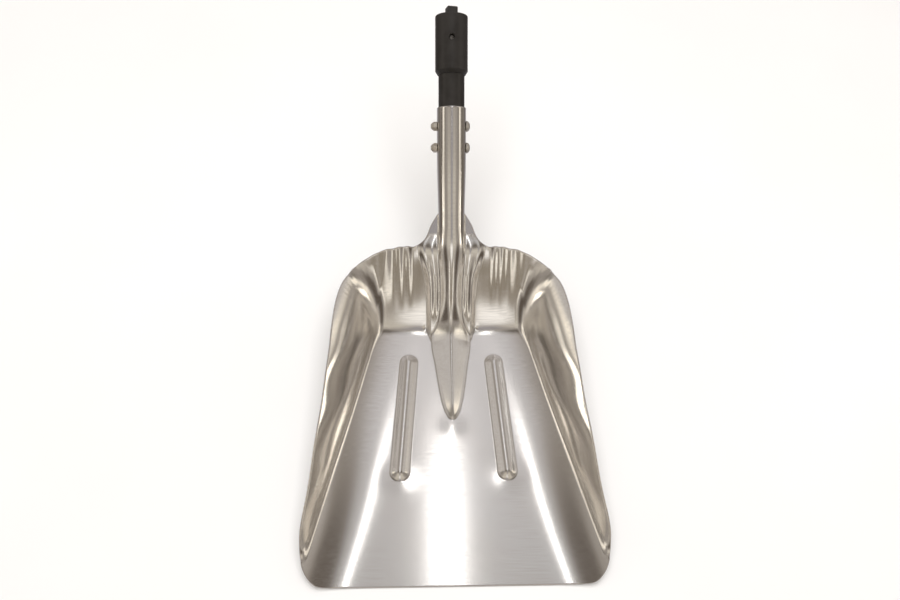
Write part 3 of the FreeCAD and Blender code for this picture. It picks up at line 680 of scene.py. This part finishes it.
points, faces = block(TANG_HALF, TANG_HALF, TANG_START, TANG_END, 0.7)
tang = add_object("tang", placed(points, turned_origin, turned_axes), faces, TANG_BLACK, math.radians(25))
cut(tang, placed(hole, pin_origin, pin_axes), hole_faces)
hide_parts("coupling_tang")
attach(tang, "root")

points, faces = lathe([
    (0, -PIN_HALF, 0), (PIN_RADIUS, -PIN_HALF, 0.7), (PIN_RADIUS, PIN_HALF, 0.7), (0, PIN_HALF, 0),
], around=48)
pin = add_object("cross_pin", placed(points, pin_origin, pin_axes), faces, PIN)
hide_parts("tang_cross_pin")
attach(pin, "root")

# ---------------------------------------------------------------- cross bolts, lock nuts and inserts
SEAT, NUT_HEIGHT, NUT_COLLAR, BOLT_TIP = 17.8, 4.2, 2.0, 25.2
BOLT_RADIUS, NUT_FLATS, NUT_COLLAR_RADIUS, NUT_BORE = 3.0, 10.0, 4.5, 3.05
BOLT_PLACES = {"upper": 105.5, "lower": 79.5}
for level, along in BOLT_PLACES.items():
    centre, _ = socket_frame(along)
    across = np.array([[0.0, 1.0, 0.0], [0.0, 0.0, 1.0], [1.0, 0.0, 0.0]])
    points, faces = lathe([
        (0, -BOLT_TIP, 0), (2.4, -BOLT_TIP, 0.2), (BOLT_RADIUS, -BOLT_TIP + 0.7, 0.2),
        (BOLT_RADIUS, SEAT, 0), (6.5, SEAT, 0.3), (6.6, SEAT + 1.0, 0.9), (5.7, SEAT + 2.9, 2.4),
        (3.2, SEAT + 4.5, 2.4), (0, SEAT + 4.8, 0),
    ], around=64)
    bolt = add_object(level + "_bolt", placed(points, centre, across), faces, ZINC)
    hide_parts(level + "_cross_bolt")
    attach(bolt, "root")
    turn = 0.35 if level == "upper" else 0.8
    back = np.array([
        [0.0, math.cos(turn), math.sin(turn)], [0.0, math.sin(turn), -math.cos(turn)], [-1.0, 0.0, 0.0],
    ])
    seat = centre - [SEAT, 0.0, 0.0]
    points, faces = hexagon_nut(NUT_FLATS, NUT_HEIGHT, NUT_COLLAR_RADIUS, NUT_COLLAR, NUT_BORE)
    nut = add_object(level + "_nut", placed(points, seat, back), faces, NUT_ZINC)
    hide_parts(level + "_lock_nut")
    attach(nut, "root")
    points, faces = lathe([
        (NUT_BORE, 4.4, 0), (3.9, 4.4, 0), (3.9, 5.9, 0), (3.3, 6.05, 0), (NUT_BORE, 5.9, 0),
        (NUT_BORE, 4.4, 0),
    ], around=48)
    insert = add_object(level + "_insert", placed(points, seat, back), faces, NYLON)
    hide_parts(level + "_nut_insert")
    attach(insert, "root")

# ---------------------------------------------------------------- floor, light and camera
floor_points = [(-3, -3, 0), (3, -3, 0), (3, 3, 0), (-3, 3, 0)]
floor = add_object("floor", floor_points, [(0, 1, 2, 3)], floor_material(), smooth_angle=0)
floor.visible_glossy = False


def soft_light(name, place, aim, width, length, watts, colour=(1.0, 1.0, 1.0), mirrored=True):
    """A rectangular soft light; its length lies along Y when it hangs overhead."""
    lamp = bpy.data.lights.new(name, "AREA")
    lamp.shape = "RECTANGLE"
    lamp.size, lamp.size_y = width, length
    lamp.energy = watts
    lamp.color = colour
    made = bpy.data.objects.new(name, lamp)
    made.location = place
    direction = Vector(aim) - Vector(place)
    made.rotation_euler = direction.to_track_quat("-Z", "Y").to_euler()
    made.visible_glossy = mirrored
    bpy.context.scene.collection.objects.link(made)
    return made


soft_light("strip", (0.062, 0.12, 2.0), (0.062, 0.12, 0.0), 0.105, 0.68, 0.60)
for side, x in (("left", -1.1), ("right", 1.1)):
    soft_light(
        side + " side", (x, -0.05, 0.25), (0.0, -0.05, 0.05), 0.26, 0.18, 0.38, colour=(1.0, 0.94, 0.83))
soft_light("floor fill", (0.0, 0.2, 2.6), (0.0, 0.0, 0.0), 2.4, 2.4, 62.0, mirrored=False)


class Studio:
    """The room round the object: a dim warm dome with soft pale, bright and dark areas."""

    def __init__(self, colour):
        self.world = bpy.data.worlds.new("studio")
        self.world.use_nodes = True
        self.tree = self.world.node_tree
        self.background = self.tree.nodes["Background"]
        self.direction = self.tree.nodes.new("ShaderNodeTexCoord").outputs["Generated"]
        base = self.tree.nodes.new("ShaderNodeRGB")
        base.outputs[0].default_value = (*colour, 1.0)
        self.total = base.outputs[0]

    def area(self, towards, near, far, colour):
        """Blends a soft round area over what is there; near and far are angles from its middle."""
        along = self.tree.nodes.new("ShaderNodeVectorMath")
        along.operation = "DOT_PRODUCT"
        self.tree.links.new(self.direction, along.inputs[0])
        along.inputs[1].default_value = Vector(towards).normalized()
        share = self.tree.nodes.new("ShaderNodeMapRange")
        share.interpolation_type = "SMOOTHSTEP"
        self.tree.links.new(along.outputs["Value"], share.inputs["Value"])
        share.inputs["From Min"].default_value = math.cos(math.radians(far))
        share.inputs["From Max"].default_value = math.cos(math.radians(near))
        mix = self.tree.nodes.new("ShaderNodeMix")
        mix.data_type = "RGBA"
        colours = [item for item in mix.inputs if item.type == "RGBA"]
        self.tree.links.new(share.outputs["Result"], mix.inputs["Factor"])
        self.tree.links.new(self.total, colours[0])
        colours[1].default_value = (*colour, 1.0)
        self.total = [item for item in mix.outputs if item.type == "RGBA"][0]

    def finish(self):
        self.tree.links.new(self.total, self.background.inputs["Color"])
        bpy.context.scene.world = self.world


studio = Studio((0.35, 0.315, 0.28))
studio.area((0.0, 0.0, -1.0), 72, 88, (0.12, 0.10, 0.085))
studio.area((0.0, 0.0, -1.0), 24, 76, (0.54, 0.52, 0.535))
studio.area((0.05, 0.16, 0.99), 5, 16, (0.52, 0.51, 0.51))
studio.area((0.05, 0.52, 0.85), 9, 24, (0.66, 0.635, 0.645))
studio.area((0.04, -0.42, 0.907), 5, 12, (0.31, 0.295, 0.31))
for sign in (-1, 1):
    studio.area((sign * 0.36, -0.56, 0.75), 8, 20, (0.62, 0.57, 0.495))
for sign in (-1, 1):
    studio.area((sign * 0.75, 0.20, 0.66), 8, 18, (0.58, 0.545, 0.52))
    studio.area((sign * 0.34 + 0.04, -0.02, 0.93), 7, 13.5, (0.12, 0.10, 0.085))
    studio.area((sign * 1.0, 0.05, 0.02), 8, 14, (0.12, 0.10, 0.08))
    studio.area((sign * 1.0, 0.05, 0.53), 5, 11, (1.3, 1.2, 1.03))
    studio.area((sign * 1.0, -0.10, 0.80), 4, 10, (0.20, 0.18, 0.15))
studio.area((0.0, -0.95, 0.30), 13, 25, (0.27, 0.23, 0.18))
studio.area((0.0, -0.775, 0.63), 4, 14, (1.2, 1.16, 1.11))
for sign in (-1, 1):
    studio.area((sign * 0.32, -0.88, 0.34), 2.5, 6.5, (1.5, 1.42, 1.28))
    studio.area((sign * 0.72, -0.64, 0.30), 8, 16, (0.09, 0.07, 0.055))
    studio.area((sign * 0.95, -0.22, 0.30), 4, 9, (1.2, 1.1, 0.95))
studio.finish()
bpy.context.scene.view_settings.view_transform = "Standard"

CAMERA_AIM = Vector((0.0003, 0.0315, 0.0))
CAMERA_RISE, CAMERA_SIDE, CAMERA_ROLL = math.radians(62.6), math.radians(-5.16), math.radians(4.49)
CAMERA_DISTANCE = 1.0435
SENSOR_WIDTH, FOCAL_LENGTH = 36.0, 32.324
away = Vector((
    math.sin(CAMERA_SIDE) * math.cos(CAMERA_RISE),
    -math.cos(CAMERA_SIDE) * math.cos(CAMERA_RISE),
    math.sin(CAMERA_RISE),
))
right = (-away).cross(Vector((0, 0, 1))).normalized()
up = right.cross(-away)
rolled_right = math.cos(CAMERA_ROLL) * right + math.sin(CAMERA_ROLL) * up
rolled_up = -math.sin(CAMERA_ROLL) * right + math.cos(CAMERA_ROLL) * up
lens = bpy.data.cameras.new("camera")
lens.sensor_width = SENSOR_WIDTH
lens.lens = FOCAL_LENGTH
lens.clip_start, lens.clip_end = 0.05, 50.0
camera = bpy.data.objects.new("camera", lens)
camera.matrix_world = Matrix.Translation(CAMERA_AIM + away * CAMERA_DISTANCE) @ Matrix(
    (rolled_right, rolled_up, away)).transposed().to_4x4()
bpy.context.scene.collection.objects.link(camera)
bpy.context.scene.camera = camera
